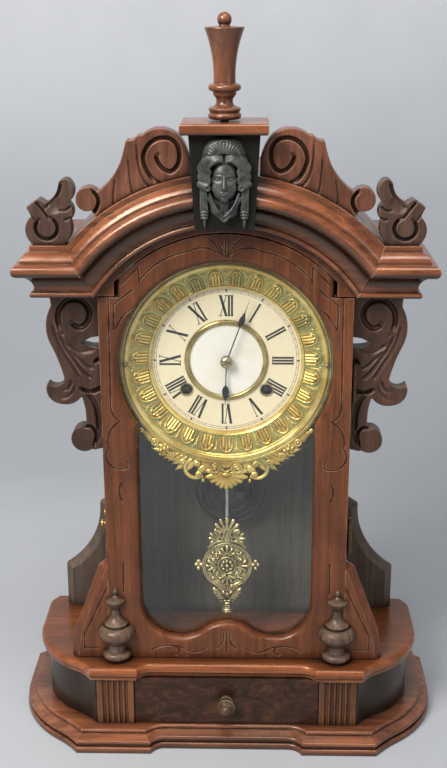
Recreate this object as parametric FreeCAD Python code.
import FreeCAD, Part
import math
import os

# Walnut shelf clock with an arched cornice, a glazed door and a drawer in the base.
# Millimetres. X runs to the viewer's right, Y runs away from the viewer, Z is up.
# The origin lies under the middle of the base, on the surface that the clock stands on.

V = FreeCAD.Vector

# Clearances
running_gap = 0.6          # door and drawer to the wood around them
head_gap = 1.2             # arched door top to the fixed head board
head_corner_gap = 2.0      # foot of the door's arch to the fixed head board
pivot_gap = 0.05           # arbor or pin in its hole
touch_gap = 0.3            # moving metal beside fixed metal

# Base
base_depth = 152.0
plinth_height = 19.5
plinth_block_in = 68.0
plinth_block_out = 135.5
plinth_waist = 20.5
plinth_end = 195.0
plinth_bow = 100.0
bay_height = 47.1
shelf_thickness = 12.0
shelf_setback = 13.5
shelf_block_in = 80.0
shelf_block_out = 123.5
shelf_waist = 16.5
shelf_end = 178.0
shelf_bow = 81.5
shelf_back_setback = 1.0
shelf_chamfer = 9.0
block_step = 8.5
step_run = 12.0
foot_thickness = 6.0
end_panel_setback = 7.0
end_panel_wall = 9.0
pilaster_setback = 5.0
pilaster_width = 33.5
pilaster_inset = 4.0
pilaster_depth = 11.0
flute_count = 5
flute_pitch = 5.0
flute_radius = 1.8
bay_wall = 8.0
base_back_setback = 12.0

# Drawer
drawer_front_thickness = 9.0
drawer_front_setback = 2.0
drawer_wall = 6.0
drawer_back_room = 1.5     # shut drawer to the back of its bay
drawer_bottom_thickness = 3.0
drawer_bottom_lift = 3.0
drawer_side_drop = 6.0
knob_length = 20.0
knob_radius = 8.0

# Case
front_step = 35.0          # door face behind the front of the plinth
case_half_width = 106.0
case_wall = 12.0
case_depth = 96.0
door_thickness = 14.0
door_back_gap = 0.4
back_board_thickness = 7.0
back_board_setback = 13.0
dial_above_shelf = 275.2

# Arch, cornice and shoulders
arch_spread = 21.8         # arch radius beyond the case's half width
arch_centre_drop = 5.6
arch_overlap = 1.3
head_rim = 6.3             # width of the fixed head board below the cornice bead
arch_foot_inset = 16.0     # door's edge to the foot of its arch, which swings clear of the cornice
carving_margin = 7.0       # top of the door to the border lines
cornice_height = 43.5
cornice_reach = 21.0
bead_reach = 8.5
shoulder_flat = 23.2       # level part of each shoulder outside the arch
shoulder_board = 9.0
keystone_top_half = 28.0
keystone_foot_half = 23.5
keystone_foot_drop = 1.0
keystone_height = 75.0
keystone_reach = 24.0
mask_relief = 11.0
keystone_tail = 16.0
cap_half_width = 34.5
cap_thickness = 8.8
cap_overhang = 11.0
finial_height = 81.2
pediment_height = 34.6
crest_height = 53.0
side_scroll_height = 145.0
rear_bracket_height = 120.0
rear_bracket_thickness = 12.0
rear_bracket_bevel = 6.5
urn_height = 69.6
ornament_thickness = 16.0
ornament_reach = 2.0
pediment_margin = 8.4      # scroll ends short of the arch's mitres

# Door
dial_stile = 15.0          # door edge to the window beside the dial
door_stile = 30.0          # door edge to the window below the dial
window_round = 5.5
window_corner_radius = 34.0
window_low_above_shelf = 20.4
window_peak_rise = 15.0
glass_thickness = 2.0
glass_lap = 4.5
glass_depth = 9.0
wing_reach = 35.0
wing_height = 96.0
wing_toe_height = 27.0
wing_thickness = 9.0
wing_bevel = 6.0
urn_offset = 6.5           # urn centre inside the door's edge
groove_width = 1.3
groove_depth = 1.0

# Hinges and hook
leaf_thickness = 0.8
leaf_length = 34.0
leaf_reach = 11.0
knuckle_radius = 2.2
hinge_side_gap = 0.6       # door edge to the knuckles
hinge_setback = 7.5        # hinge pins behind the door face
hinge_pin_radius = 1.1
upper_hinge_above_shelf = 262.0
lower_hinge_above_shelf = 120.0
hook_above_shelf = 131.0
hook_reach = 23.0
hook_pin_radius = 1.6

# Dial and hands
bezel_margin = 2.0         # window edge to the bezel
bezel_width = 24.6
bezel_front = 14.7         # bezel front behind the door face
bezel_skin = 1.3
dial_depth = 28.6
dial_thickness = 0.9
dial_board_thickness = 6.0
dial_seat = 8.1            # dial board's hole beyond the visible dial
pendulum_slot = 28.0       # gap at the foot of the dial board for the pendulum rod
centre_ring_radius = 36.4
centre_ring_width = 5.0
winding_offset_x = 34.8
winding_drop = 26.5
winding_hole_radius = 5.0
minute_hand_margin = 4.4   # hand tips inside the visible dial
hour_hand_margin = 22.4
minute_hand_angle = 20.0
hour_hand_angle = 180.0 + minute_hand_angle / 12.0
hand_thickness = 0.7

# Movement
front_plate_depth = 44.0
plate_thickness = 2.0
plate_spacing = 28.0
plate_half_width = 60.0
plate_rise = 52.0
plate_fall = 66.0
pillar_radius = 3.5
arbor_radius = 1.2
cannon_radius = 2.0
hour_pipe_radius = 3.2
gear_face = 1.6
gear_backlash = 0.22
cannon_teeth = 12
motion_wheel_teeth = 36
motion_pinion_teeth = 10
hour_wheel_teeth = 40
motion_distance = 18.0
centre_wheel_teeth = 84
third_pinion_teeth = 12
third_wheel_teeth = 80
escape_pinion_teeth = 12
train_module = 0.5
escape_teeth = 36
escape_radius = 16.0
winder_radius = 3.0
winder_square = 4.2
spring_radius = 23.0
spring_width = 12.0

# Pendulum, hammer and gong
pendulum_depth = 34.0
pendulum_drop = 27.0       # suspension pivot below the hand arbor
rod_radius = 0.9
bob_radius = 23.8
bob_drop = 171.0           # bob centre below the suspension pivot
bob_thickness = 4.0
gong_wire = 1.4
gong_inner_radius = 13.0
gong_pitch = 5.4
gong_half_turns = 8
gong_drop = 143.0          # gong centre below the hand arbor
gong_standoff = 12.0

# Levels and planes that follow from the sizes above
plinth_front = -base_depth / 2
plinth_back = base_depth / 2
door_face = plinth_front + front_step
shelf_front = plinth_front + shelf_setback
shelf_back = plinth_back - shelf_back_setback
shelf_foot = plinth_height + bay_height
shelf_top = shelf_foot + shelf_thickness
door_back = door_face + door_thickness
case_front = door_back + door_back_gap
case_back = case_front + case_depth
back_board_back = case_back - back_board_setback
back_board_front = back_board_back - back_board_thickness
dial_z = shelf_top + dial_above_shelf
arch_z = dial_z - arch_centre_drop
arch_radius = case_half_width + arch_spread
window_radius = case_half_width - dial_stile
window_half_width = case_half_width - door_stile
bezel_radius = window_radius - bezel_margin
dial_visible_radius = bezel_radius - bezel_width
dial_board_hole = dial_visible_radius + dial_seat
minute_hand_length = dial_visible_radius - minute_hand_margin
hour_hand_length = dial_visible_radius - hour_hand_margin
spring_half = case_half_width + arch_overlap
spring_z = arch_z + math.sqrt(arch_radius ** 2 - spring_half ** 2)
cornice_radius = arch_radius + cornice_height
shoulder_top = spring_z + cornice_height
mitre_x = math.sqrt(cornice_radius ** 2 - (shoulder_top - arch_z) ** 2)
shoulder_half_width = mitre_x + shoulder_flat
top_board_radius = cornice_radius - shoulder_board
top_board_foot = shoulder_top - shoulder_board
head_radius = arch_radius - head_rim + head_gap
door_arch_radius = arch_radius - head_rim
door_foot = shelf_top + running_gap
door_shoulder = spring_z - head_gap
arch_foot = case_half_width - arch_foot_inset
carving_top = arch_z + door_arch_radius - carving_margin
keystone_foot = arch_z + arch_radius + keystone_foot_drop
keystone_top = keystone_foot + keystone_height
cap_top = keystone_top + cap_thickness
hinge_x = case_half_width + knuckle_radius + hinge_side_gap
hinge_y = door_face + hinge_setback
dial_face = door_face + dial_depth
dial_back = dial_face + dial_thickness
front_plate = door_face + front_plate_depth
back_plate = front_plate + plate_thickness + plate_spacing
pendulum_y = door_face + pendulum_depth
pivot_z = dial_z - pendulum_drop
bob_z = pivot_z - bob_drop
gong_z = dial_z - gong_drop
hook_z = shelf_top + hook_above_shelf
bay_half = shelf_block_in + pilaster_inset
base_back_front = shelf_back - base_back_setback
drawer_half = bay_half - running_gap
pilaster_front = shelf_front + pilaster_setback
pilaster_back = pilaster_front + pilaster_depth


def point(item, plane, level):
    """A 2-D point placed on a plane: xz at a Y level, xy at a Z level or yz at an X level."""
    if plane == "xz":
        return V(item[0], level, item[1])
    if plane == "xy":
        return V(item[0], item[1], level)
    return V(level, item[0], item[1])


def edges_of(items, plane, level):
    """Edges through a list of points: (u, v) is a line to a point, (mu, mv, u, v) an arc through m."""
    edges = []
    here = point(items[0], plane, level)
    for item in items[1:]:
        there = point(item[-2:], plane, level)
        if len(item) == 4:
            edges.append(Part.Arc(here, point(item[:2], plane, level), there).toShape())
        else:
            edges.append(Part.LineSegment(here, there).toShape())
        here = there
    return edges


def closed_wire(items, plane, level):
    """Closed wire through the items, with a straight last side where they do not meet."""
    first = items[0]
    if math.dist(first[-2:], items[-1][-2:]) > 1e-6:
        items = items + [first[-2:]]
    return Part.Wire(edges_of(items, plane, level))


def prism(items, plane, low, high):
    """Solid between two levels with the outline given by the items."""
    face = Part.Face(closed_wire(items, plane, low))
    return face.extrude(point((0, 0), plane, high - low))


def box(x0, x1, y0, y1, z0, z1):
    """Box between opposite corners."""
    return Part.makeBox(x1 - x0, y1 - y0, z1 - z0, V(x0, y0, z0))


def rod_y(x, z, radius, y0, y1):
    """Cylinder along Y."""
    return Part.makeCylinder(radius, y1 - y0, V(x, y0, z), V(0, 1, 0))


def rod_z(x, y, radius, z0, z1):
    """Cylinder along Z."""
    return Part.makeCylinder(radius, z1 - z0, V(x, y, z0), V(0, 0, 1))


def rod_x(y, z, radius, x0, x1):
    """Cylinder along X."""
    return Part.makeCylinder(radius, x1 - x0, V(x0, y, z), V(1, 0, 0))


def tube_y(x, z, outer, inner, y0, y1):
    """Pipe along Y."""
    return rod_y(x, z, outer, y0, y1).cut(rod_y(x, z, inner, y0 - 1, y1 + 1))


def turned_z(items, x, y, sweep=360):
    """Turning about a vertical axis from a half profile of (radius, height) points."""
    face = Part.Face(closed_wire(items, "xz", 0.0))
    solid = face.revolve(V(0, 0, 0), V(0, 0, 1), sweep)
    solid.translate(V(x, y, 0))
    return solid


def turned_y(items, x, z):
    """Turning about an axis along Y from a half profile of (radius, depth) points."""
    face = Part.Face(closed_wire(items, "xy", 0.0))
    solid = face.revolve(V(0, 0, 0), V(0, 1, 0), 360)
    solid.translate(V(x, 0, z))
    return solid


def placed(items, u, v, unit=1.0, side_unit=None):
    """Outline items given as offsets, scaled by a unit, sideways by its own, and moved to a point."""
    wide = side_unit or unit
    units = (wide, unit, wide, unit)
    moved = []
    for item in items:
        moved.append(tuple(o + k * offset for o, k, offset in zip((u, v, u, v), units, item)))
    return moved


def mirrored(shape):
    """Copy on the other side of the clock."""
    return shape.mirror(V(0, 0, 0), V(1, 0, 0))


def both_sides(shape):
    """A shape and its mirror image as one group of solids."""
    return Part.Compound([mirrored(shape), shape])


def fused(shapes):
    """One solid from touching or overlapping shapes."""
    whole = shapes[0].fuse(shapes[1:])
    return whole.removeSplitter()


def level_edges(shape, z):
    """Edges of a shape that lie wholly at one height."""
    return [e for e in shape.Edges if abs(e.BoundBox.ZMin - z) < 1e-4 and abs(e.BoundBox.ZMax - z) < 1e-4]


def bevelled(outline, front, bevel):
    """Front slice of a board whose outline is drawn in by the bevel at its face."""
    face = closed_wire(outline(bevel), "xz", front)
    foot = closed_wire(outline(0), "xz", front + bevel)
    return Part.makeLoft([face, foot], True, True)


def arc_middle(centre, first, last):
    """Middle of the shorter arc from first to last about a centre, as (u, v)."""
    radius = math.dist(centre, first)
    u = first[0] + last[0] - 2 * centre[0]
    v = first[1] + last[1] - 2 * centre[1]
    size = math.hypot(u, v)
    return (centre[0] + radius * u / size, centre[1] + radius * v / size)


def arc_to(centre, first, last):
    """Arc item from first to last about a centre."""
    return arc_middle(centre, first, last) + tuple(last)


def spot(angle, radius, x=0.0, z=0.0):
    """Point at a clock angle, clockwise from straight up, about a centre."""
    turn = math.radians(angle)
    return (x + radius * math.sin(turn), z + radius * math.cos(turn))


# Base

tail = 60.0                # the outlines run on behind and are cut off square at the back


def base_plan(front, block_in, block_out, waist, end, bow):
    """Serpentine outline of one layer of the base: stepped front blocks and bowed ends."""
    step = front + block_step
    start = (block_in - step_run, step)
    inner = (block_in, front)
    outer = (block_out, front)
    hollow = (block_out + waist, front + waist)
    side = (end, front + bow)
    step_radius = (step_run ** 2 + block_step ** 2) / (2 * block_step)
    dx = side[0] - hollow[0]
    dy = side[1] - hollow[1]
    bow_radius = (dx ** 2 + dy ** 2) / (2 * dx)
    bow_centre = (end - bow_radius, side[1])
    nx = (hollow[0] - bow_centre[0]) / bow_radius
    ny = (hollow[1] - bow_centre[1]) / bow_radius
    cx = outer[0] - hollow[0]
    cy = outer[1] - hollow[1]
    cove_radius = (cx ** 2 + cy ** 2) / (2 * (nx * cx + ny * cy))
    cove_centre = (hollow[0] + nx * cove_radius, hollow[1] + ny * cove_radius)
    right = [
        start,
        arc_to((start[0], step - step_radius), start, inner),
        outer,
        arc_to(cove_centre, outer, hollow),
        arc_to(bow_centre, hollow, side),
        (end, plinth_back + tail),
    ]
    left = [(-end, plinth_back + tail)]
    ends = [item[-2:] for item in right]
    for index in range(len(right) - 1, 0, -1):
        item = right[index]
        back = (-ends[index - 1][0], ends[index - 1][1])
        left.append((-item[0], item[1]) + back if len(item) == 4 else back)
    return right + left


plinth_items = base_plan(plinth_front, plinth_block_in, plinth_block_out,
                         plinth_waist, plinth_end, plinth_bow)
shelf_items = base_plan(shelf_front, shelf_block_in, shelf_block_out,
                        shelf_waist, shelf_end, shelf_bow)


def inset_wire(items, inset, z):
    """Base outline drawn in by an inset at a height."""
    wire = closed_wire(items, "xy", z)
    if inset == 0:
        return wire
    return wire.makeOffset2D(-inset, 2)


def layer(items, inset, z0, z1, round_top=0.0, round_foot=0.0):
    """One board of the base with rounded upper and lower edges."""
    solid = Part.Face(inset_wire(items, inset, z0)).extrude(V(0, 0, z1 - z0))
    if round_top:
        solid = solid.makeFillet(round_top, level_edges(solid, z1))
    if round_foot:
        solid = solid.makeFillet(round_foot, level_edges(solid, z0))
    return solid


def trimmed_back(solid, back):
    """The part of a layer in front of a plane."""
    reach = plinth_end + tail
    return solid.common(box(-reach, reach, plinth_front - tail, back, -1.0, shelf_top + 1.0))


def build_foot_board():
    """Board that the clock stands on, with a rounded front edge."""
    return trimmed_back(layer(plinth_items, 0, 0.0, foot_thickness, 2.2, 1.2), plinth_back)


def build_plinth_moulding():
    """Reveal, torus, slope and top bead above the foot board."""
    reveal_top = foot_thickness + 2.0
    torus_top = reveal_top + 4.5
    slope_top = plinth_height - 4.0
    slope_foot_wire = inset_wire(plinth_items, 3.0, torus_top)
    slope_top_wire = inset_wire(plinth_items, 9.5, slope_top)
    slope = Part.makeLoft([slope_foot_wire, slope_top_wire], True, True)
    stack = [
        layer(plinth_items, 3.0, foot_thickness, reveal_top),
        layer(plinth_items, 0.8, reveal_top, torus_top, 2.1, 2.1),
        slope,
        layer(plinth_items, 8.5, slope_top, plinth_height, 1.9, 1.6),
    ]
    return trimmed_back(fused(stack), plinth_back)


def build_shelf_board():
    """Shelf over the drawer, with a round nose above a fillet and cut back corners."""
    fillet_top = shelf_foot + 2.8
    nose = layer(shelf_items, 0, fillet_top, shelf_top, 4.0, 2.4)
    lower = layer(shelf_items, 2.0, shelf_foot, fillet_top)
    board = trimmed_back(fused([lower, nose]), shelf_back)
    corner = [
        (shelf_end + 1.0, shelf_back - 1.6 * shelf_chamfer),
        (shelf_end + 1.0, shelf_back + 1.0),
        (shelf_end - shelf_chamfer, shelf_back + 1.0),
    ]
    cut = prism(corner, "xy", shelf_foot - 1.0, shelf_top + 1.0)
    return board.cut(cut).cut(mirrored(cut))


def build_base_ends():
    """Bowed end panels between the pilasters and the back."""
    outer = layer(shelf_items, end_panel_setback, plinth_height, shelf_foot)
    inner = layer(shelf_items, end_panel_setback + end_panel_wall, plinth_height, shelf_foot)
    ring = outer.cut(inner)
    edge = bay_half + pilaster_width
    right = ring.common(box(edge, shelf_end, plinth_front, shelf_back, plinth_height, shelf_foot))
    return both_sides(right)


def build_pilasters():
    """Fluted pilasters either side of the drawer."""
    middle = bay_half + pilaster_width / 2
    block = box(bay_half, bay_half + pilaster_width, pilaster_front, pilaster_back, plinth_height, shelf_foot)
    for index in range(flute_count):
        x = middle + (index - (flute_count - 1) / 2) * flute_pitch
        block = block.cut(rod_z(x, pilaster_front, flute_radius, plinth_height - 1, shelf_foot + 1))
    return both_sides(block)


def build_base_carcass():
    """Walls of the drawer bay and the back of the base."""
    wall = box(bay_half, bay_half + bay_wall, pilaster_back, base_back_front, plinth_height, shelf_foot)
    half = shelf_end - end_panel_setback - end_panel_wall
    back = box(-half, half, base_back_front, base_back_front + bay_wall, plinth_height, shelf_foot)
    return Part.Compound([mirrored(wall), wall, back])


# Drawer

drawer_face = pilaster_front + drawer_front_setback
drawer_front_back = drawer_face + drawer_front_thickness
drawer_foot = plinth_height + touch_gap
drawer_top = shelf_foot - running_gap
drawer_side_top = drawer_top - drawer_side_drop
drawer_end = base_back_front - drawer_back_room
knob_z = (drawer_foot + drawer_top) / 2
knob_shank_radius = 2.5


def build_drawer_front():
    """Drawer front, bored for the knob's shank."""
    board = box(-drawer_half, drawer_half, drawer_face, drawer_front_back, drawer_foot, drawer_top)
    return board.cut(rod_y(0, knob_z, knob_shank_radius, drawer_face - 1, drawer_front_back + 1))


def build_drawer_box():
    """Drawer sides and back."""
    outer = drawer_half - 1.0
    side = box(outer - drawer_wall, outer, drawer_front_back, drawer_end, drawer_foot, drawer_side_top)
    inner = outer - drawer_wall
    back = box(-inner, inner, drawer_end - drawer_wall, drawer_end, drawer_foot, drawer_side_top)
    return Part.Compound([mirrored(side), side, back])


def build_drawer_bottom():
    """Thin bottom board let in between the sides."""
    inner = drawer_half - 1.0 - drawer_wall
    z0 = drawer_foot + drawer_bottom_lift
    return box(-inner, inner, drawer_front_back, drawer_end - drawer_wall, z0, z0 + drawer_bottom_thickness)


def build_drawer_knob():
    """Turned knob: shank, collar, neck, flared rim and domed tip."""
    tip = drawer_face - knob_length
    r = knob_radius
    profile = [
        (0, tip),
        (0.46 * r, tip + 0.2 * r, 0.62 * r, tip + 0.6 * r),
        (0.56 * r, tip + 0.82 * r),
        (r, tip + 1.12 * r),
        (r, tip + 1.24 * r),
        (0.6 * r, tip + 1.4 * r, 0.48 * r, tip + 1.7 * r),
        (0.48 * r, drawer_face - 4.0),
        (0.8 * r, drawer_face - 3.0),
        (0.8 * r, drawer_face),
        (knob_shank_radius, drawer_face),
        (knob_shank_radius, drawer_front_back),
        (0, drawer_front_back),
    ]
    return turned_y(profile, 0, knob_z)


# Case

def hinge_levels():
    """Middle heights of the two hinges."""
    return [shelf_top + lower_hinge_above_shelf, shelf_top + upper_hinge_above_shelf]


def build_case_sides():
    """Walls of the case, the right one let in for the hinge leaves."""
    inner = case_half_width - case_wall
    right = box(inner, case_half_width, case_front, case_back, shelf_top, spring_z)
    left = mirrored(right)
    for z in hinge_levels():
        right = right.cut(case_leaf_plate(z))
    return Part.Compound([left, right])


def build_case_back_board():
    """Thin board that closes the case behind the pendulum, with an arched top."""
    half = case_half_width - case_wall
    top = arch_z + math.sqrt(top_board_radius ** 2 - half ** 2)
    items = [(-half, shelf_top), (half, shelf_top), (half, top)]
    items.append((0, arch_z + top_board_radius, -half, top))
    return prism(items, "xz", back_board_front, back_board_back)


def shoulder_outline(radius, z, half):
    """Outline of the arched top between flat shoulders, without its foot."""
    x = math.sqrt(radius ** 2 - (z - arch_z) ** 2)
    return [(half, z), (x, z), (0, arch_z + radius, -x, z), (-half, z)]


def build_case_top_board():
    """Bent top board with flat shoulders, from the front moulding to the back."""
    half = shoulder_half_width
    foot = [(-half, spring_z), (half, spring_z)]
    upper = shoulder_outline(cornice_radius, shoulder_top, half)
    lower = shoulder_outline(top_board_radius, top_board_foot, half)
    room = prism(lower + foot, "xz", door_face, case_back)
    return prism(upper + foot, "xz", door_face, case_back).cut(room)


def build_arch_head_board():
    """Fixed front board between the door's arched top and the cornice."""
    x = arch_foot + head_corner_gap
    z = arch_z + math.sqrt(head_radius ** 2 - x ** 2)
    items = shoulder_outline(top_board_radius, top_board_foot, shoulder_half_width)
    items += [(-shoulder_half_width, spring_z), (-x, spring_z), (-x, z)]
    items += [(0, arch_z + head_radius, x, z), (x, spring_z), (shoulder_half_width, spring_z)]
    return prism(items, "xz", door_face, door_back)


def build_shoulder_boards():
    """Soffit and end board of each shoulder behind the cornice."""
    soffit_top = spring_z + shoulder_board
    inner = shoulder_half_width - shoulder_board
    soffit = box(case_half_width - case_wall, shoulder_half_width, door_back, case_back, spring_z, soffit_top)
    end = box(inner, shoulder_half_width, door_back, case_back, soffit_top, top_board_foot)
    return both_sides(fused([soffit, end]))


# Cornice

def cornice_profile():
    """Cornice section as (height above the bead's foot, reach in front of the board)."""
    h = cornice_height
    p = cornice_reach
    return [
        (0, 0),
        (0, bead_reach - 2.6),
        (0.06 * h, bead_reach, 0.12 * h, bead_reach - 2.6),
        (0.12 * h, 0.24 * p),
        (0.2 * h, 0.24 * p),
        (0.34 * h, 0.38 * p, 0.44 * h, 0.74 * p),
        (0.44 * h, 0.82 * p),
        (0.56 * h, p, 0.68 * h, 0.78 * p),
        (0.68 * h, 0.68 * p),
        (0.74 * h, 0.68 * p),
        (0.82 * h, 0.58 * p, 0.88 * h, 0.4 * p),
        (0.88 * h, 0.34 * p),
        (h, 0.34 * p),
        (h, 0),
    ]


def placed_profile(place):
    """Cornice section with each (height, reach) point put in space by a function."""
    items = cornice_profile()
    edges = []
    here = place(*items[0])
    for item in items[1:] + [items[0]]:
        there = place(*item[-2:])
        if len(item) == 4:
            edges.append(Part.Arc(here, place(*item[:2]), there).toShape())
        else:
            edges.append(Part.LineSegment(here, there).toShape())
        here = there
    return Part.Face(Part.Wire(edges))


def mitre_prism():
    """Space over the arch, bounded by the mitre lines at its two ends."""
    dx = mitre_x - spring_half
    dz = shoulder_top - spring_z
    low = (spring_half - dx, spring_z - dz)
    high = (spring_half + 2 * dx, spring_z + 2 * dz)
    peak = arch_z + cornice_radius + 20.0
    items = [low, high, (high[0], peak), (-high[0], peak), (-high[0], high[1]), (-low[0], low[1])]
    return prism(items, "xz", door_face - cornice_reach - 10, door_face + 10)


def keystone_outline(slack=0.0):
    """Keystone outline, wider at the top."""
    return [
        (-keystone_foot_half - slack, keystone_foot),
        (keystone_foot_half + slack, keystone_foot),
        (keystone_top_half + slack, keystone_top),
        (-keystone_top_half - slack, keystone_top),
    ]


def build_cornice_arch():
    """Moulding over the arch, let in for the keystone."""
    face = placed_profile(lambda h, p: V(0, door_face - p, arch_z + arch_radius + h))
    sweep = 70.0
    face.rotate(V(0, 0, arch_z), V(0, 1, 0), -sweep)
    ring = face.revolve(V(0, 0, arch_z), V(0, 1, 0), 2 * sweep)
    ring = ring.common(mitre_prism())
    front = door_face - keystone_reach - 1
    return ring.cut(prism(keystone_outline(), "xz", front, door_face + 1))


def build_cornice_returns():
    """Level moulding across each shoulder and back along its end."""
    start = spring_half - (mitre_x - spring_half)
    reach = shoulder_half_width + cornice_reach + 5
    front = placed_profile(lambda h, p: V(start, door_face - p, spring_z + h)).extrude(V(reach - start, 0, 0))
    nose = door_face - cornice_reach - 5
    side = placed_profile(lambda h, p: V(shoulder_half_width + p, nose, spring_z + h))
    side = side.extrude(V(0, case_back - nose, 0))
    far = 60.0
    corner = (shoulder_half_width, door_face)
    mitre = (corner[0] + far, corner[1] - far)
    front_zone = [corner, mitre, (start - 1, mitre[1]), (start - 1, corner[1])]
    front = front.common(prism(front_zone, "xy", spring_z - 1, shoulder_top + 1))
    side_zone = [corner, mitre, (mitre[0], case_back), (corner[0], case_back)]
    side = side.common(prism(side_zone, "xy", spring_z - 1, shoulder_top + 1))
    front = front.cut(mitre_prism())
    return both_sides(fused([front, side]))


# Keystone, finial and carved ornament

def build_keystone_block():
    """Tapered keystone over the arch, reaching back onto the top board."""
    block = prism(keystone_outline(), "xz", door_face - keystone_reach, door_face)
    heel = prism(keystone_outline(), "xz", door_face, door_face + keystone_tail)
    heel = heel.cut(rod_y(0, arch_z, cornice_radius, door_face - 1, door_face + keystone_tail + 1))
    return fused([block, heel])


def egg(x, y, z, rx, ry, rz):
    """Egg-shaped solid of three half axes."""
    ball = Part.makeSphere(1.0)
    matrix = FreeCAD.Matrix()
    matrix.scale(V(rx, ry, rz))
    matrix.move(V(x, y, z))
    return ball.transformGeometry(matrix)


def build_keystone_mask():
    """Carved head in relief: plain egg of a face, hair, crest and drapery."""
    front = door_face - keystone_reach
    middle = keystone_foot + 0.55 * keystone_height
    head = egg(0, front, middle, 13.5, mask_relief, 21.0)
    hair = egg(0, front, middle + 8.0, 20.0, 0.6 * mask_relief, 21.0)
    collar = [(-16, middle + 4), (16, middle + 4), (0, keystone_foot + 5)]
    drapery = prism(collar, "xz", front - 0.4 * mask_relief, front)
    whole = fused([head, hair, drapery])
    half = keystone_foot_half
    return whole.common(box(-half, half, front - 20.0, front, keystone_foot + 2, keystone_top - 1))


def build_keystone_cap():
    """Small board on the keystone with a rounded edge."""
    half = cap_half_width
    y0 = door_face - keystone_reach - cap_overhang
    y1 = door_face + keystone_tail + 2.0
    board = box(-half, half, y0, y1, keystone_top, cap_top)
    edges = level_edges(board, keystone_top) + level_edges(board, cap_top)
    return board.makeFillet(2.2, edges)


finial_y = door_face - (keystone_reach + cap_overhang - keystone_tail) / 2


def build_top_finial():
    """Turned finial: rings, neck, flared cup and ball."""
    s = finial_height / 81.2
    z = cap_top
    ball_z = z + 75.6 * s
    ball_r = 5.6 * s
    profile = [
        (0, z),
        (3.3 * s, z),
        (3.3 * s, z + 1.6 * s),
        (11.6 * s, z + 1.6 * s),
        (13.0 * s, z + 4.0 * s, 11.4 * s, z + 6.4 * s),
        (12.6 * s, z + 8.8 * s),
        (12.4 * s, z + 10.0 * s),
        (8.4 * s, z + 11.4 * s),
        (6.5 * s, z + 14.6 * s, 8.0 * s, z + 18.6 * s),
        (9.0 * s, z + 20.0 * s),
        (9.2 * s, z + 22.6 * s),
        (11.0 * s, z + 22.8 * s),
        (12.8 * s, z + 25.4 * s, 11.0 * s, z + 28.0 * s),
        (8.6 * s, z + 28.6 * s),
        (9.9 * s, z + 50.0 * s, 15.4 * s, z + 69.4 * s),
        (15.2 * s, z + 70.2 * s),
        (4.4 * s, z + 71.0 * s),
        (4.2 * s, ball_z - math.sqrt(ball_r ** 2 - (4.2 * s) ** 2)),
        (ball_r, ball_z, 0, ball_z + ball_r),
    ]
    return turned_z(profile, 0, finial_y)


ornament_front = door_face - ornament_reach
ornament_back = ornament_front + ornament_thickness


def build_pediment_scrolls():
    """Pierced-edge scroll boards that lean on the keystone and ride the arch."""
    x = keystone_top_half
    top = arch_z + cornice_radius
    items = [
        (0.0, -14.0),
        (0.0, 9.0),
        (1.8, 16.5, 8.0, 28.0),
        (21.0, 34.6, 38.0, 29.4),
        (42.0, 29.0),
        (46.5, 25.4, 50.5, 25.6),
        (53.0, 16.4),
        (59.0, 1.5, 75.0, -15.4),
        (84.0, -11.6, 92.4, -20.6),
        (88.0, -30.0, 80.0, -30.6),
        (70.0, -44.0),
    ]
    unit = pediment_height / 34.6
    side_unit = (mitre_x - x - pediment_margin) / 92.4
    board = prism(placed(items, x, top, unit, side_unit), "xz", ornament_front, ornament_back)
    board = board.cut(rod_y(0, arch_z, cornice_radius, ornament_front - 1, ornament_back + 1))
    flank = prism(keystone_outline(), "xz", ornament_front - 1, ornament_back + 1)
    return both_sides(board.cut(flank))


def build_corner_crests():
    """Carved crests that stand on the shoulders of the cornice."""
    x = shoulder_half_width
    z = shoulder_top
    items = [
        (-21.5, 0.0),
        (-27.0, 10.0, -26.0, 19.0),
        (-29.0, 26.0, -25.5, 34.0),
        (-30.0, 42.0, -27.0, 51.0),
        (-22.0, 53.0, -18.0, 48.0),
        (-12.5, 37.5, -7.0, 33.5),
        (-1.0, 37.0),
        (8.6, 30.5),
        (5.0, 23.0),
        (10.4, 12.0, 4.5, 0.0),
    ]
    unit = crest_height / 53.0
    return both_sides(prism(placed(items, x, z, unit), "xz", ornament_front, ornament_back))


scroll_front = case_front + 2.6
scroll_back = scroll_front + ornament_thickness


def build_side_scrolls():
    """Carved scroll brackets under the shoulders, on the walls of the case."""
    x = case_half_width
    z = spring_z
    items = [
        (0.0, 0.0),
        (43.0, 0.0),
        (42.0, -13.0),
        (47.0, -29.0, 43.5, -47.5),
        (37.5, -62.0, 33.5, -76.0),
        (36.5, -83.5, 48.5, -82.0),
        (48.0, -93.0, 37.0, -100.5),
        (27.0, -100.0, 19.0, -93.4),
        (16.0, -108.0, 16.4, -122.0),
        (27.5, -124.0, 29.8, -135.0),
        (24.0, -145.6, 13.0, -143.5),
        (0.0, -140.5),
    ]
    unit = side_scroll_height / 145.0
    board = prism(placed(items, x, z, unit), "xz", scroll_front, scroll_back)
    gap = placed([(-1, -39.0), (9.0, -40.5), (19.5, -46.5), (9.0, -49.0), (-1, -49.0)], x, z, unit)
    return both_sides(board.cut(prism(gap, "xz", scroll_front - 1, scroll_back + 1)))


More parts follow.
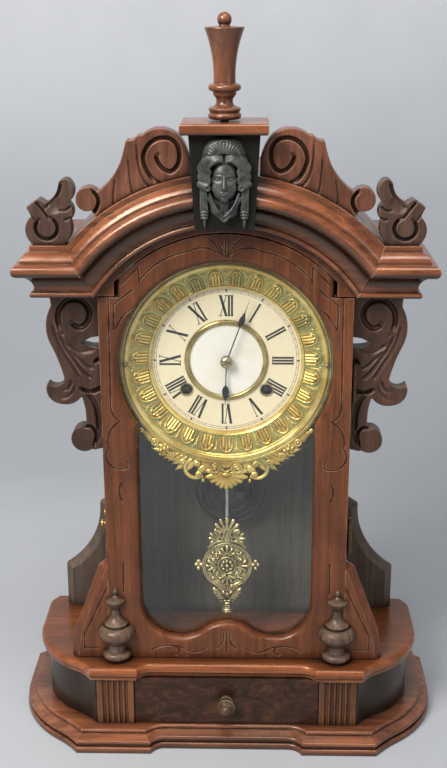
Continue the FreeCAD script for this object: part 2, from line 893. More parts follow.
def build_rear_brackets():
    """Boards that stay the case at the back, with a hollow bevelled edge."""
    x = case_half_width
    z = shelf_top
    unit = rear_bracket_height / 120.0
    front = case_back - rear_bracket_thickness

    def outline(inset):
        i = inset / unit
        items = [
            (0.0, 0.0),
            (53.5 - i, 0.0),
            (53.5 - i, 41.5 - 0.4 * i),
            (27.0 - 0.9 * i, 70.0 - 0.6 * i, 18.5 - i, 107.5 - 0.3 * i),
            (0.0, 120.0 - 1.3 * i),
        ]
        return placed(items, x, z, unit)

    board = prism(outline(0), "xz", front + rear_bracket_bevel, case_back)
    return both_sides(fused([board, bevelled(outline, front, rear_bracket_bevel)]))


# Door

def window_items():
    """Outline of the glazed opening: round over the dial, straight sides, serpentine foot."""
    w = window_half_width
    low = shelf_top + window_low_above_shelf
    r = window_corner_radius
    neck = dial_z - math.sqrt(window_radius ** 2 - w ** 2)
    bend = w - r
    half = bend / 2
    rise = window_peak_rise / 2
    wave = (half ** 2 + rise ** 2) / (2 * rise)
    peak = low + window_peak_rise
    right_low = (bend, low)
    right_mid = (half, low + rise)
    items = [
        (-w, neck),
        (0, dial_z + window_radius, w, neck),
        (w, low + r),
        arc_to((bend, low + r), (w, low + r), right_low),
        arc_to((bend, low + wave), right_low, right_mid),
        arc_to((0, peak - wave), right_mid, (0, peak)),
        arc_to((0, peak - wave), (0, peak), (-half, low + rise)),
        arc_to((-bend, low + wave), (-half, low + rise), (-bend, low)),
        arc_to((-bend, low + r), (-bend, low), (-w, low + r)),
    ]
    return items


def window_wire(spread, y):
    """Window outline made wider all round, at a depth."""
    wire = closed_wire(window_items(), "xz", y)
    if spread == 0:
        return wire
    return wire.makeOffset2D(spread, 2)


def window_prism(spread, y0, y1):
    """Solid with the window's outline."""
    return Part.Face(window_wire(spread, y0)).extrude(V(0, y1 - y0, 0))


def door_outline():
    """Outer outline of the door."""
    w = case_half_width
    x = arch_foot
    z = arch_z + math.sqrt(door_arch_radius ** 2 - x ** 2)
    return [
        (-w, door_foot),
        (w, door_foot),
        (w, door_shoulder),
        (x, door_shoulder),
        (x, z),
        (0, arch_z + door_arch_radius, -x, z),
        (-x, door_shoulder),
        (-w, door_shoulder),
    ]


def incised(items, width=groove_width):
    """Shallow groove along an open path on the door's face."""
    if len(items) == 2 and len(items[1]) == 2:
        (x0, z0), (x1, z1) = items
        size = math.dist(items[0], items[1])
        dx = width / 2 * (z1 - z0) / size
        dz = width / 2 * (x1 - x0) / size
        corners = [(x0 + dx, z0 - dz), (x1 + dx, z1 - dz), (x1 - dx, z1 + dz), (x0 - dx, z0 + dz)]
        return prism(corners, "xz", door_face, door_face + groove_depth)
    wire = Part.Wire(edges_of(items, "xz", door_face))
    band = wire.makeOffset2D(width / 2, 0, False, False)
    return Part.Face(band).extrude(V(0, groove_depth, 0))


def carved_lines():
    """Incised ornament on the right half of the door: border, fans, scrolls and drops."""
    w = case_half_width
    z = dial_z
    rim = carving_top
    foot = shelf_top
    lines = [
        [(4.0, rim - 10.0), (14.0, rim - 5.0, 30.0, rim - 7.4), (54.0, rim - 16.5, 71.0, rim - 32.0)],
        [(71.0, rim - 34.0), (71.6, rim - 20.5), (w - 9.0, rim - 46.5), (w - 8.0, z - 31.0)],
        [(77.5, rim - 40.0), (93.0, rim - 52.5), (93.0, rim - 74.0), (84.0, rim - 60.0), (77.5, rim - 56.0)],
        [(w - 8.0, z - 31.0), (w - 10.0, z - 40.0, w - 16.0, z - 46.0)],
        [(w - 16.0, z - 46.0), (w - 7.5, z - 54.0, w - 5.5, z - 70.0)],
        [(w - 5.5, z - 70.0), (w - 8.0, z - 88.0, w - 16.0, z - 90.0)],
        [(w - 16.0, z - 90.0), (w - 21.0, z - 88.0, w - 20.0, z - 83.0)],
        [(w - 15.0, z - 103.0), (w - 13.0, z - 112.0, w - 15.5, z - 120.0)],
        [(w - 14.5, foot + 96.0), (w - 14.0, foot + 66.0)],
        [(18.5, foot + 10.5), (28.0, foot + 6.0, 38.5, foot + 10.0), (50.0, foot + 12.6, 68.0, foot + 8.0)],
        [(47.0, foot + 11.4), (43.0, foot + 7.5, 49.5, foot + 4.5)],
        [(2.8, foot + 25.0), (4.0, foot + 16.0, 9.5, foot + 10.0)],
        [(1.8, rim - 11.0), (3.4, rim - 5.0, 6.4, rim - 0.5)],
        [(2.6, rim - 12.6), (6.4, rim - 4.0, 13.5, rim + 3.5)],
    ]
    return [incised(line) for line in lines]


def centre_fans():
    """Upright cuts of the two small fans on the door's middle line."""
    foot = shelf_top
    upper = incised([(0, carving_top - 13.0), (0, carving_top + 5.0)])
    lower = incised([(0, foot + 5.0), (0, foot + 27.0)])
    return [upper, lower]


def build_door_frame():
    """Door board with a rounded window edge, a glass rebate and incised ornament."""
    board = prism(door_outline(), "xz", door_face, door_back)
    board = board.cut(window_prism(0, door_face - 1, door_back + 1))
    inner = [
        e for e in board.Edges
        if abs(e.BoundBox.YMin - door_face) < 1e-4 and abs(e.BoundBox.YMax - door_face) < 1e-4
        and e.BoundBox.XMax < case_half_width - 5 and e.BoundBox.XMin > 5 - case_half_width
        and e.BoundBox.ZMin > door_foot + 5 and e.BoundBox.ZMax < arch_z + door_arch_radius - 5
    ]
    board = board.makeFillet(window_round, inner)
    board = board.cut(window_prism(glass_lap + running_gap, door_face + glass_depth, door_back + 1))
    for z in hinge_levels():
        board = board.cut(door_leaf_plate(z))
    for groove in carved_lines():
        board = board.cut(groove).cut(mirrored(groove))
    for groove in centre_fans():
        board = board.cut(groove)
    pin = rod_x(hook_pin_y, hook_z, hook_pin_radius, -case_half_width - 1, hook_pin_root)
    return board.cut(pin)


def build_door_wings():
    """Bevelled feet glued to the edges of the door."""
    x = case_half_width
    z = door_foot

    def outline(inset):
        return [
            (x, z),
            (x + wing_reach - inset, z),
            (x + wing_reach - 3.5 - inset, z + wing_toe_height - 0.5 * inset),
            (x + 8.0 - inset, z + wing_height - 6.0 - 0.5 * inset),
            (x, z + wing_height - inset),
        ]

    middle = door_face + wing_bevel
    back = prism(outline(0), "xz", middle, door_face + wing_thickness)
    wing = fused([back, bevelled(outline, door_face, wing_bevel)])
    line = [
        (x + 1.0, z + wing_height - 26.0),
        (x + wing_reach - wing_bevel - 6.0, z + wing_toe_height - 5.0),
        (x + wing_reach - wing_bevel - 6.0, z + 9.0),
        (x + 10.0, z + 9.0),
    ]
    return both_sides(wing.cut(incised(line)))


def build_door_glass():
    """Pane in the door's rebate."""
    y0 = door_face + glass_depth
    return window_prism(glass_lap, y0, y0 + glass_thickness)


def build_glass_stops():
    """Strips that hold the pane in its rebate."""
    y0 = door_face + glass_depth + glass_thickness
    ring = window_prism(glass_lap, y0, door_back)
    return ring.cut(window_prism(0, y0 - 1, door_back + 1))


def build_door_urns():
    """Split turned urns on the front of the door."""
    z = door_foot
    profile = [
        (0, 0),
        (10.5, 0),
        (13.4, 4.0, 10.8, 8.0),
        (8.2, 9.4),
        (7.8, 14.0),
        (9.8, 18.6),
        (16.9, 26.0, 12.2, 33.2),
        (9.4, 33.6),
        (10.9, 35.0),
        (10.9, 36.6),
        (6.2, 40.8, 3.8, 47.4),
        (3.6, 49.0),
        (9.0, 57.0),
        (9.3, 59.0),
        (3.2, 61.4),
        (1.8, 63.2),
        (2.6, 66.4, 0, 69.6),
    ]
    profile = placed(profile, 0, z, urn_height / 69.6)
    return both_sides(turned_z(profile, case_half_width - urn_offset, door_face, -180))


# Hinges and hook

def door_leaf_plate(z):
    """Leaf let into the right edge of the door."""
    return box(case_half_width - leaf_thickness, case_half_width, hinge_y - leaf_reach / 2,
               hinge_y + leaf_reach / 2, z - leaf_length / 2, z + leaf_length / 2)


def case_leaf_plate(z):
    """Leaf let into the front edge of the case wall."""
    return box(case_half_width - leaf_reach, case_half_width, case_front, case_front + leaf_thickness,
               z - leaf_length / 2, z + leaf_length / 2)


def build_hinge_door_leaves():
    """Door leaves with their end knuckles, bored for the pins."""
    leaves = []
    third = leaf_length / 3
    tongue = leaf_thickness / 2
    for z in hinge_levels():
        bottom = z - leaf_length / 2
        parts = [door_leaf_plate(z)]
        lower = (bottom, bottom + third - touch_gap)
        upper = (bottom + 2 * third + touch_gap, bottom + leaf_length)
        for z0, z1 in (lower, upper):
            parts.append(rod_z(hinge_x, hinge_y, knuckle_radius, z0, z1))
            parts.append(box(case_half_width - tongue, hinge_x, hinge_y - tongue, hinge_y + tongue, z0, z1))
        bore = rod_z(hinge_x, hinge_y, hinge_pin_radius + pivot_gap, bottom - 1, bottom + leaf_length + 1)
        leaves.append(fused(parts).cut(bore))
    return Part.Compound(leaves)


def build_hinge_case_leaves():
    """Case leaves cranked round the door's edge to a middle knuckle that holds the pin."""
    leaves = []
    third = leaf_length / 3
    arm = case_half_width + hinge_side_gap
    back = case_front + leaf_thickness
    for z in hinge_levels():
        bottom = z - leaf_length / 2
        z0 = bottom + third
        z1 = z0 + third
        step = box(case_half_width - 1, arm + leaf_thickness, case_front, back, z0, z1)
        reach = box(arm, arm + leaf_thickness, hinge_y, back, z0, z1)
        knuckle = rod_z(hinge_x, hinge_y, knuckle_radius, z0, z1)
        pin = rod_z(hinge_x, hinge_y, hinge_pin_radius, bottom, bottom + leaf_length)
        leaves.append(fused([case_leaf_plate(z), step, reach, knuckle, pin]))
    return Part.Compound(leaves)


hook_pin_y = door_face + door_thickness / 2
hook_pivot_y = hook_pin_y + hook_reach
hook_pin_root = 6.0 - case_half_width
hook_side = -case_half_width
hook_outer = hook_side - 2.6
hook_inner = hook_side - 0.8
hook_head_radius = 3.2


def build_hook_pins():
    """Headed pivot screw of the hook, on the left wall of the case."""
    shank = rod_x(hook_pivot_y, hook_z, hook_pin_radius, hook_outer - touch_gap, hook_side)
    head = rod_x(hook_pivot_y, hook_z, hook_head_radius, hook_outer - touch_gap - 1.6, hook_outer - touch_gap)
    collar = rod_x(hook_pivot_y, hook_z, hook_head_radius, hook_inner + touch_gap, hook_side)
    return fused([shank, head, collar])


def build_door_pin():
    """Headed pin in the door's left edge for the hook to catch."""
    shank = rod_x(hook_pin_y, hook_z, hook_pin_radius, hook_outer - touch_gap, hook_pin_root)
    head = rod_x(hook_pin_y, hook_z, hook_head_radius, hook_outer - touch_gap - 1.6, hook_outer - touch_gap)
    return fused([shank, head])


def build_door_hook():
    """Brass hook that hangs from its pivot; swung over, its notch drops on the door's pin."""
    y = hook_pivot_y
    z = hook_z
    half = 3.0
    slot = hook_pin_radius + touch_gap
    tip = z - hook_reach
    items = [
        (y + half, z),
        (y, z + half, y - half, z),
        (y - half, tip),
        (y, tip - 2 * half, y + half + 2.0, tip - half),
        (y + half + 2.0, tip - slot),
        (y, tip - slot),
        (y - slot, tip, y, tip + slot),
        (y + half, tip + slot),
    ]
    plate = prism(items, "yz", hook_outer, hook_inner)
    return plate.cut(rod_x(y, z, hook_pin_radius + pivot_gap, hook_outer - 1, hook_inner + 1))


# Dial and bezel

def build_dial_board():
    """Board behind the bezel, held between the walls of the case."""
    y0 = dial_back
    y1 = y0 + dial_board_thickness
    half = case_half_width - case_wall
    ring = tube_y(0, dial_z, bezel_radius - 1.0, dial_board_hole, y0, y1)
    arm = box(-half, half, y0, y1, dial_z - 12.0, dial_z + 30.0)
    arm = arm.cut(rod_y(0, dial_z, dial_board_hole, y0 - 1, y1 + 1))
    slot = box(-pendulum_slot / 2, pendulum_slot / 2, y0 - 1, y1 + 1, dial_z - bezel_radius, dial_z)
    return fused([ring, arm]).cut(slot)


def build_dial_plate():
    """Painted dial disc with holes for the hand arbor and the winding squares."""
    disc = rod_y(0, dial_z, dial_board_hole + 4.0, dial_face, dial_back)
    disc = disc.cut(rod_y(0, dial_z, hour_pipe_radius + 0.8, dial_face - 1, dial_back + 1))
    for side in (-1, 1):
        x = side * winding_offset_x
        disc = disc.cut(rod_y(x, dial_z - winding_drop, winding_hole_radius, dial_face - 1, dial_back + 1))
    return disc


def build_dial_bezel():
    """Pressed bezel: round outer ring, sloping band and stepped inner ring."""
    y = door_face + bezel_front
    r = bezel_radius
    s = bezel_skin
    seat = dial_back
    v = dial_visible_radius
    profile = [
        (r, seat),
        (r, y + 3.0),
        (r - 2.8, y, r - 5.6, y + 2.6),
        (r - 6.4, y + 3.4),
        (v + 3.2, y + 9.4),
        (v + 2.6, y + 8.6),
        (v + 1.3, y + 9.4),
        (v + 0.6, y + 11.2),
        (v, dial_face - 0.9),
        (v, dial_face),
        (v + 6.0, dial_face),
        (v + 9.0, y + 8.2 + 2 * s),
        (r - 6.4, y + 3.4 + 2 * s),
        (r - 2.8, y + 1.8 * s),
        (r - s, y + 4.0),
        (r - s, seat),
    ]
    return turned_y(profile, 0, dial_z)


def build_bezel_pendant():
    """Scrolled pressing below the bezel."""
    z = dial_z
    y0 = door_face + bezel_front + 2.0
    r = 89.0
    items = [
        spot(123.0, r),
        (77.0, -60.0, 73.5, -68.0),
        (70.0, -78.0, 62.0, -79.0),
        (53.0, -88.0, 43.0, -94.0),
        (39.0, -106.0, 29.5, -110.0),
        (20.0, -109.0, 13.5, -111.5),
        (7.0, -116.0, 0, -116.5),
        (-7.0, -116.0, -13.5, -111.5),
        (-20.0, -109.0, -29.5, -110.0),
        (-39.0, -106.0, -43.0, -94.0),
        (-53.0, -88.0, -62.0, -79.0),
        (-70.0, -78.0, -73.5, -68.0),
        (-77.0, -60.0) + spot(-123.0, r),
        (0, -r) + spot(123.0, r),
    ]
    return prism(placed(items, 0, z, bezel_radius / r), "xz", y0, y0 + 2.4)


def build_dial_rings():
    """Brass ring round the middle of the dial and the rims of the winding holes."""
    r = centre_ring_radius
    w = centre_ring_width
    profile = [
        (r, dial_face),
        (r - 0.3 * w, dial_face - 1.8, r - w, dial_face - 0.4),
        (r - w, dial_face),
    ]
    rings = [turned_y(profile, 0, dial_z)]
    for side in (-1, 1):
        x = side * winding_offset_x
        rings.append(tube_y(x, dial_z - winding_drop, winding_hole_radius + 1.0, winding_hole_radius,
                            dial_face - 0.6, dial_face))
    return Part.Compound(rings)


# Hands and motion work

def gear(teeth, module, x, z, y0, y1, bore, tooth_angle, thin):
    """Spur wheel with flat-faced teeth; one tooth points at a clock angle."""
    pitch = module * teeth / 2
    tip = pitch + 0.62 * module
    root = pitch - 0.85 * module
    half = 90.0 / teeth - math.degrees(thin / (2 * pitch))
    items = []
    for index in range(teeth):
        angle = tooth_angle + 360.0 * index / teeth
        items.append(spot(angle - 1.3 * half, root, x, z))
        items.append(spot(angle - 0.55 * half, tip, x, z))
        items.append(spot(angle + 0.55 * half, tip, x, z))
        items.append(spot(angle + 1.3 * half, root, x, z))
    wheel = prism(items, "xz", y0, y1)
    return wheel.cut(rod_y(x, z, bore, y0 - 1, y1 + 1))


minute_plane = door_face + 22.4
hour_plane = door_face + 24.8
cannon_plane = door_face + 41.0
hour_wheel_plane = door_face + 37.6
motion_module = 2 * motion_distance / (cannon_teeth + motion_wheel_teeth)
hour_module = 2 * motion_distance / (motion_pinion_teeth + hour_wheel_teeth)
motion_z = dial_z + motion_distance


def hand(length, width, y0, boss_radius, bore, angle):
    """Spade hand with a slim stem, leaf and point."""
    spade = length * 0.64
    items = [
        (-0.55, 0), (-0.45, spade - 5.0), (-width / 2, spade, -0.3 * width, spade + 4.5),
        (-0.35, spade + 9.0), (0, length), (0.35, spade + 9.0),
        (0.3 * width, spade + 4.5), (width / 2, spade, 0.45, spade - 5.0), (0.55, 0),
    ]
    blade = prism([item[:-1] + (item[-1] + dial_z,) if len(item) == 2 else
                   (item[0], item[1] + dial_z, item[2], item[3] + dial_z) for item in items],
                  "xz", y0, y0 + hand_thickness)
    boss = rod_y(0, dial_z, boss_radius, y0, y0 + 1.6)
    whole = fused([blade, boss]).cut(rod_y(0, dial_z, bore, y0 - 1, y0 + 3))
    whole.rotate(V(0, 0, dial_z), V(0, 1, 0), angle)
    return whole


def build_minute_hand():
    """Minute hand on the front end of the cannon."""
    return hand(minute_hand_length, 5.2, minute_plane, 3.2, cannon_radius, minute_hand_angle)


def build_hour_hand():
    """Hour hand on the front end of the hour pipe."""
    return hand(hour_hand_length, 6.0, hour_plane, 5.0, hour_pipe_radius, hour_hand_angle)


def build_hand_nut():
    """Domed nut in front of the minute hand."""
    profile = [
        (arbor_radius + pivot_gap, minute_plane - 3.6),
        (2.2, minute_plane - 3.6),
        (4.4, minute_plane - 2.6, 5.4, minute_plane - 0.8),
        (5.4, minute_plane),
        (arbor_radius + pivot_gap, minute_plane),
    ]
    return turned_y(profile, 0, dial_z)


def build_cannon_pinion():
    """Cannon tube and pinion that carry the minute hand round the centre arbor."""
    tube = tube_y(0, dial_z, cannon_radius, arbor_radius + pivot_gap, minute_plane, front_plate - touch_gap)
    teeth = gear(cannon_teeth, motion_module, 0, dial_z, cannon_plane, cannon_plane + gear_face,
                 arbor_radius + pivot_gap, 0.0, gear_backlash)
    return fused([tube, teeth])


def build_hour_wheel():
    """Hour wheel and pipe that turn round the cannon."""
    bore = cannon_radius + pivot_gap
    pipe = tube_y(0, dial_z, hour_pipe_radius, bore, hour_plane, hour_wheel_plane + gear_face)
    teeth = gear(hour_wheel_teeth, hour_module, 0, dial_z, hour_wheel_plane, hour_wheel_plane + gear_face,
                 bore, 180.0 / hour_wheel_teeth, gear_backlash)
    return fused([pipe, teeth])


def build_motion_wheel():
    """Wheel and pinion of the motion work, on a post of the front plate."""
    wheel = gear(motion_wheel_teeth, motion_module, 0, motion_z, cannon_plane, cannon_plane + gear_face,
                 arbor_radius + pivot_gap, 180.0 + 180.0 / motion_wheel_teeth, gear_backlash)
    pinion = gear(motion_pinion_teeth, hour_module, 0, motion_z, hour_wheel_plane, cannon_plane,
                  arbor_radius + pivot_gap, 180.0, gear_backlash)
    return fused([wheel, pinion])


# Going train between the plates

third_distance = train_module * (centre_wheel_teeth + third_pinion_teeth) / 2
escape_distance = train_module * (third_wheel_teeth + escape_pinion_teeth) / 2
third_z = dial_z - third_distance
escape_z = third_z - escape_distance
centre_plane = front_plate + plate_thickness + 2.0
third_plane = centre_plane + gear_face + 2.0
escape_plane = front_plate - 3.6
plate_front = front_plate
plate_inner = front_plate + plate_thickness
back_inner = back_plate
back_outer = back_plate + plate_thickness


def build_centre_wheel():
    """Centre arbor with its wheel; the cannon slips on its front end."""
    arbor = rod_y(0, dial_z, arbor_radius, minute_plane - 4.6, back_outer)
    wheel = gear(centre_wheel_teeth, train_module, 0, dial_z, centre_plane, centre_plane + gear_face,
                 arbor_radius, 180.0, gear_backlash)
    return fused([arbor, wheel])


def build_third_wheel():
    """Third arbor with its pinion and wheel."""
    arbor = rod_y(0, third_z, arbor_radius, plate_front + touch_gap, back_outer)
    pinion = gear(third_pinion_teeth, train_module, 0, third_z, centre_plane - 0.6, third_plane,
                  arbor_radius, 180.0 / third_pinion_teeth, gear_backlash)
    wheel = gear(third_wheel_teeth, train_module, 0, third_z, third_plane, third_plane + gear_face,
                 arbor_radius, 180.0, gear_backlash)
    return fused([arbor, pinion, wheel])


def build_escape_wheel():
    """Escape arbor with its pinion, and the toothed escape wheel in front of the plate."""
    arbor = rod_y(0, escape_z, arbor_radius, escape_plane - 0.6, back_outer)
    pinion = gear(escape_pinion_teeth, train_module, 0, escape_z, third_plane - 0.6,
                  third_plane + gear_face + 0.6, arbor_radius, 180.0 / escape_pinion_teeth, gear_backlash)
    items = []
    pitch = 360.0 / escape_teeth
    for index in range(escape_teeth):
        angle = index * pitch
        items.append(spot(angle, escape_radius, 0, escape_z))
        items.append(spot(angle + 0.35 * pitch, escape_radius - 2.6, 0, escape_z))
        items.append(spot(angle + 0.85 * pitch, escape_radius - 2.6, 0, escape_z))
    rim = prism(items, "xz", escape_plane, escape_plane + 1.2)
    for index in range(4):
        hole = spot(45.0 + 90.0 * index, 0.5 * escape_radius, 0, escape_z)
        rim = rim.cut(rod_y(hole[0], hole[1], 0.26 * escape_radius, escape_plane - 1, escape_plane + 2.2))
    return fused([arbor, pinion, rim])


def pillar_spots():
    """Pillar centres at the corners of the plates."""
    x = plate_half_width - 7.0
    return [(sx * x, z) for sx in (-1, 1) for z in (dial_z + plate_rise - 7.0, dial_z - plate_fall + 7.0)]


def winder_spots():
    """Winding arbor centres: strike on the left, going train on the right."""
    return [(-winding_offset_x, dial_z - winding_drop), (winding_offset_x, dial_z - winding_drop)]


hammer_x = 24.0
hammer_z = dial_z - plate_fall + 14.0
motion_post_radius = arbor_radius


def plate(y0, holes):
    """Brass movement plate with rounded corners, a waist and pivot holes."""
    z0 = dial_z - plate_fall
    z1 = dial_z + plate_rise
    body = box(-plate_half_width, plate_half_width, y0, y0 + plate_thickness, z0, z1)
    corners = [e for e in body.Edges if e.BoundBox.XLength < 1e-6 and e.BoundBox.ZLength < 1e-6]
    body = body.makeFillet(6.0, corners)
    for x, z, radius in holes:
        body = body.cut(rod_y(x, z, radius, y0 - 1, y0 + plate_thickness + 1))
    return body


def build_movement_frame():
    """Front and back plates, pillars and the legs on the back board."""
    pivots = [(0, z, arbor_radius + pivot_gap) for z in (dial_z, third_z, escape_z)]
    pivots += [(x, z, winder_radius + pivot_gap) for x, z in winder_spots()]
    pivots.append((hammer_x, hammer_z, arbor_radius + pivot_gap))
    front = plate(plate_front, pivots)
    back = plate(back_plate, pivots)
    post = rod_y(0, motion_z, motion_post_radius, hour_wheel_plane - 1.0, plate_front)
    parts = [fused([front, post]), back]
    for x, z in pillar_spots():
        parts.append(rod_y(x, z, pillar_radius, plate_inner, back_inner))
        parts.append(rod_y(x, z, pillar_radius, back_outer, back_board_front))
    return Part.Compound(parts)


def build_winder(x):
    """Winding arbor with its square, ratchet and spring hub."""
    z = dial_z - winding_drop
    arbor = rod_y(x, z, winder_radius, plate_front - 1.0, back_outer)
    half = winder_square / 2
    square = box(x - half, x + half, dial_face + 2.5, plate_front - 1.0, z - half, z + half)
    hub = rod_y(x, z, 6.5, spring_plane, spring_plane + spring_width)
    items = []
    teeth = 18
    for index in range(teeth):
        items.append(spot(360.0 * index / teeth, 11.0, x, z))
        items.append(spot(360.0 * (index + 0.85) / teeth, 9.4, x, z))
    ratchet = prism(items, "xz", spring_plane - 2.6, spring_plane - 1.0)
    return fused([arbor, square, hub, ratchet])


spring_plane = back_inner - spring_width - 3.0


def build_mainsprings():
    """Wound mainsprings, each hooked to the lower pillar beside it."""
    springs = []
    for x, z in winder_spots():
        coil = tube_y(x, z, spring_radius, 6.5 + touch_gap, spring_plane, spring_plane + spring_width)
        side = 1 if x > 0 else -1
        px = side * (plate_half_width - 7.0)
        pz = dial_z - plate_fall + 7.0
        tail_items = [(x + side * 8.0, z - 16.0), (px - side * 2.6, pz + 6.5), (px + side * 2.0, pz + 6.5),
                      (x + side * 14.0, z - 14.0)]
        hook = prism(tail_items, "xz", spring_plane + 2.0, spring_plane + spring_width - 2.0)
        hook = hook.cut(rod_y(px, pz, pillar_radius, spring_plane, spring_plane + spring_width))
        springs.append(fused([coil, hook]))
    return Part.Compound(springs)


# Escapement, pendulum, hammer and gong

def build_suspension_cock():
    """Post on the front plate that holds the suspension spring."""
    z = pivot_z + 5.5
    post = rod_y(0, z, 2.0, pendulum_y + 1.4, plate_front)
    jaw = box(-2.4, 2.4, pendulum_y - 2.0, pendulum_y + 1.4, z - 2.4, z + 2.4)
    slot = box(-0.6, 0.6, pendulum_y - 3.0, pendulum_y + 3.0, z - 3.0, z - 0.6)
    verge_pin = rod_y(0, pivot_z, 0.8, escape_plane - 1.0, plate_front)
    return Part.Compound([fused([post, jaw]).cut(slot), verge_pin])


def build_verge():
    """Bent strip verge over the escape wheel, with the crutch wire down to the rod."""
    y0 = escape_plane
    y1 = escape_plane + 1.2
    reach = escape_radius + 0.9
    left = spot(-52.0, reach, 0, escape_z)
    right = spot(52.0, reach, 0, escape_z)
    boss = rod_y(0, pivot_z, 2.2, y0 - 0.8, y1)
    arms = [
        (0, pivot_z + 2.2),
        (2.2, pivot_z),
        (right[0] + 2.4, right[1] + 5.0),
        (right[0] + 2.2, right[1] + 0.4),
        (right[0] + 0.6, right[1] + 1.0),
        (right[0] - 0.4, right[1] + 4.2),
        (0, pivot_z - 2.6),
        (left[0] + 0.4, left[1] + 4.2),
        (left[0] - 0.6, left[1] + 1.0),
        (left[0] - 2.2, left[1] + 0.4),
        (left[0] - 2.4, left[1] + 5.0),
        (-2.2, pivot_z),
    ]
    strip = prism(arms, "xz", y0, y1)
    crutch_y = pendulum_y + rod_radius + 1.4
    drop = 9.0
    reach_out = box(-0.7, 0.7, crutch_y, y0 + 0.4, pivot_z - 2.2, pivot_z - 0.9)
    wire = box(-0.7, 0.7, crutch_y, crutch_y + 1.4, pivot_z - drop, pivot_z - 0.9)
    loop_half = rod_radius + touch_gap
    outer = loop_half + 1.0
    fork_foot = pivot_z - drop
    fork_top = fork_foot + 1.4
    fork = box(-outer, outer, pendulum_y - rod_radius - 0.6, crutch_y + 1.4, fork_foot, fork_top)
    fork = fork.cut(box(-loop_half, loop_half, pendulum_y - 9.0, crutch_y, fork_foot - 1, fork_top + 1))
    whole = fused([boss, strip, reach_out, wire, fork])
    return whole.cut(rod_y(0, pivot_z, 0.8 + pivot_gap, y0 - 5, y1 + 5))


def build_pendulum_rod():
    """Suspension spring and rod, down to the hook of the bob."""
    spring = box(-0.2, 0.2, pendulum_y - 1.6, pendulum_y + 1.2, pivot_z - 3.0, pivot_z + 4.7)
    rod = rod_z(0, pendulum_y, rod_radius, bob_z + bob_radius + 14.0, pivot_z - 2.0)
    return fused([spring, rod])


def build_pendulum_bob():
    """Cast bob: disc, side ears, palmette above, leaf below and the rating nut."""
    z = bob_z
    r = bob_radius
    y0 = pendulum_y - bob_thickness / 2
    y1 = pendulum_y + bob_thickness / 2
    disc = rod_y(0, z, r, y0, y1)
    crown = prism([(-18.0, z + 13.0), (-19.5, z + 26.0, -9.0, z + 40.0), (0, z + 50.5, 9.0, z + 40.0),
                   (19.5, z + 26.0, 18.0, z + 13.0)], "xz", y0, y1)
    leaf = prism([(-17.0, z - 15.0), (-14.0, z - 30.0, -7.0, z - 43.0), (7.0, z - 43.0),
                  (14.0, z - 30.0, 17.0, z - 15.0)], "xz", y0, y1)
    ear_items = [(r - 2.0, z - 5.0), (r + 7.0, z - 2.0), (r + 7.0, z + 3.0), (r - 2.0, z + 7.0)]
    ear = prism(ear_items, "xz", y0, y1)
    neck = rod_z(0, pendulum_y, 2.4, z - 50.0, z - 42.0)
    nut_profile = [(0, z - 54.0), (3.4, z - 54.0), (4.6, z - 51.5, 3.4, z - 49.0), (0, z - 49.0)]
    nut = turned_z(nut_profile, 0, pendulum_y)
    whole = fused([disc, crown, leaf, neck, nut, ear, mirrored(ear)])
    return whole.cut(build_pendulum_rod())


def build_strike_hammer():
    """Hammer on its arbor, with an arm down beside the gong."""
    arbor = rod_y(hammer_x, hammer_z, arbor_radius, plate_front, back_outer + 4.0)
    arm_y = back_outer + 1.6
    head_z = gong_z + gong_outer_radius - 6.0
    head_x = hammer_x + 14.0
    arm = prism([(hammer_x - 1.2, hammer_z), (hammer_x + 1.2, hammer_z + 1.0), (head_x + 1.2, head_z),
                 (head_x - 1.2, head_z)], "xz", arm_y, arm_y + 1.4)
    head = rod_x(arm_y + 0.7, head_z, 3.6, head_x - 4.0, head_x + 4.0)
    return fused([arbor, arm, head])


gong_outer_radius = gong_inner_radius + gong_pitch * gong_half_turns / 2
gong_y = back_board_front - gong_standoff


def gong_path():
    """Coil path of half turns between straight ends, and spots along it with their turn."""
    straight = 2 * gong_wire
    x = gong_inner_radius
    radius = gong_inner_radius
    side = 1
    edges = [Part.LineSegment(V(x, gong_y, gong_z - straight), V(x, gong_y, gong_z)).toShape()]
    spots = []
    for index in range(gong_half_turns):
        centre = x - side * radius
        far = centre - side * radius
        top = V(centre, gong_y, gong_z + side * radius)
        edges.append(Part.Arc(V(x, gong_y, gong_z), top, V(far, gong_y, gong_z)).toShape())
        for step in range(13):
            turn = math.radians(15.0 * step)
            u = centre + side * radius * math.cos(turn)
            v = gong_z + side * radius * math.sin(turn)
            spots.append((180.0 * index + 15.0 * step, u, v))
        x = far
        side = -side
        radius += gong_pitch / 2
    edges.append(Part.LineSegment(V(x, gong_y, gong_z), V(x, gong_y, gong_z + side * straight)).toShape())
    return Part.Wire(edges), spots


def build_gong_coil():
    """Coiled gong wire, one unbroken tube from the inner end to the outer end."""
    path, spots = gong_path()
    start = V(gong_inner_radius, gong_y, gong_z - 2 * gong_wire)
    ring = Part.Wire([Part.Circle(start, V(0, 0, 1), gong_wire).toShape()])
    coil = path.makePipeShell([ring], True, False)
    gaps = [math.dist(a[1:], b[1:]) for a in spots for b in spots if abs(a[0] - b[0]) > 180.0]
    print("gong coil least gap to itself", round(min(gaps) - 2 * gong_wire, 2))
    return coil


def build_gong_block():
    """Block on the back board, bored for the inner end of the gong."""
    x = gong_inner_radius
    wall = 0.6
    top = gong_z - 0.5 * gong_wire
    y0 = gong_y - gong_wire - 2.0
    block = box(x - 6.0, x + gong_wire + wall, y0, back_board_front, top - 6.0, top)
    return block.cut(rod_z(x, gong_y, gong_wire, gong_z - 2 * gong_wire, gong_z))


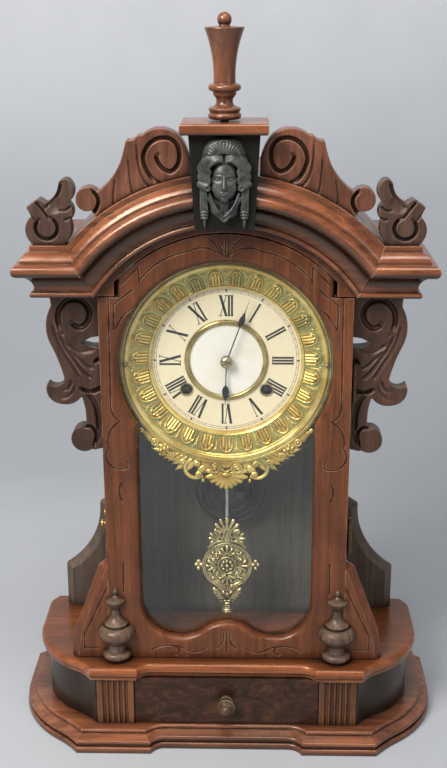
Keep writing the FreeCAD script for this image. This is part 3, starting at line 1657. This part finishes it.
NODES = {
    "foot_board": build_foot_board,
    "plinth_moulding": build_plinth_moulding,
    "base_end_panels": build_base_ends,
    "pilasters": build_pilasters,
    "base_carcass": build_base_carcass,
    "shelf_board": build_shelf_board,
    "drawer_front": build_drawer_front,
    "drawer_box": build_drawer_box,
    "drawer_bottom": build_drawer_bottom,
    "drawer_knob": build_drawer_knob,
    "case_sides": build_case_sides,
    "case_back_board": build_case_back_board,
    "case_top_board": build_case_top_board,
    "arch_head_board": build_arch_head_board,
    "shoulder_boards": build_shoulder_boards,
    "cornice_arch": build_cornice_arch,
    "cornice_returns": build_cornice_returns,
    "keystone_block": build_keystone_block,
    "keystone_mask": build_keystone_mask,
    "keystone_cap": build_keystone_cap,
    "top_finial": build_top_finial,
    "pediment_scrolls": build_pediment_scrolls,
    "corner_crests": build_corner_crests,
    "side_scrolls": build_side_scrolls,
    "rear_brackets": build_rear_brackets,
    "door_frame": build_door_frame,
    "door_wings": build_door_wings,
    "door_glass": build_door_glass,
    "glass_stops": build_glass_stops,
    "door_urns": build_door_urns,
    "hinge_door_leaves": build_hinge_door_leaves,
    "hinge_case_leaves": build_hinge_case_leaves,
    "door_pin": build_door_pin,
    "hook_pivot": build_hook_pins,
    "door_hook": build_door_hook,
    "dial_board": build_dial_board,
    "dial_plate": build_dial_plate,
    "dial_bezel": build_dial_bezel,
    "bezel_pendant": build_bezel_pendant,
    "dial_rings": build_dial_rings,
    "minute_hand": build_minute_hand,
    "hour_hand": build_hour_hand,
    "hand_nut": build_hand_nut,
    "cannon_pinion": build_cannon_pinion,
    "hour_wheel": build_hour_wheel,
    "motion_wheel": build_motion_wheel,
    "centre_wheel": build_centre_wheel,
    "third_wheel": build_third_wheel,
    "escape_wheel": build_escape_wheel,
    "movement_frame": build_movement_frame,
    "strike_winder": lambda: build_winder(-winding_offset_x),
    "time_winder": lambda: build_winder(winding_offset_x),
    "mainsprings": build_mainsprings,
    "suspension_cock": build_suspension_cock,
    "verge": build_verge,
    "pendulum_rod": build_pendulum_rod,
    "pendulum_bob": build_pendulum_bob,
    "strike_hammer": build_strike_hammer,
    "gong_coil": build_gong_coil,
    "gong_block": build_gong_block,
}


def main():
    """Build every node and write its STEP file."""
    os.makedirs("parts", exist_ok=True)
    for name, build in NODES.items():
        shape = build()
        shape.exportStep("parts/" + name + ".step")
        print(name, len(shape.Solids), "solids, volume", round(shape.Volume, 1), "valid", shape.isValid())


main()
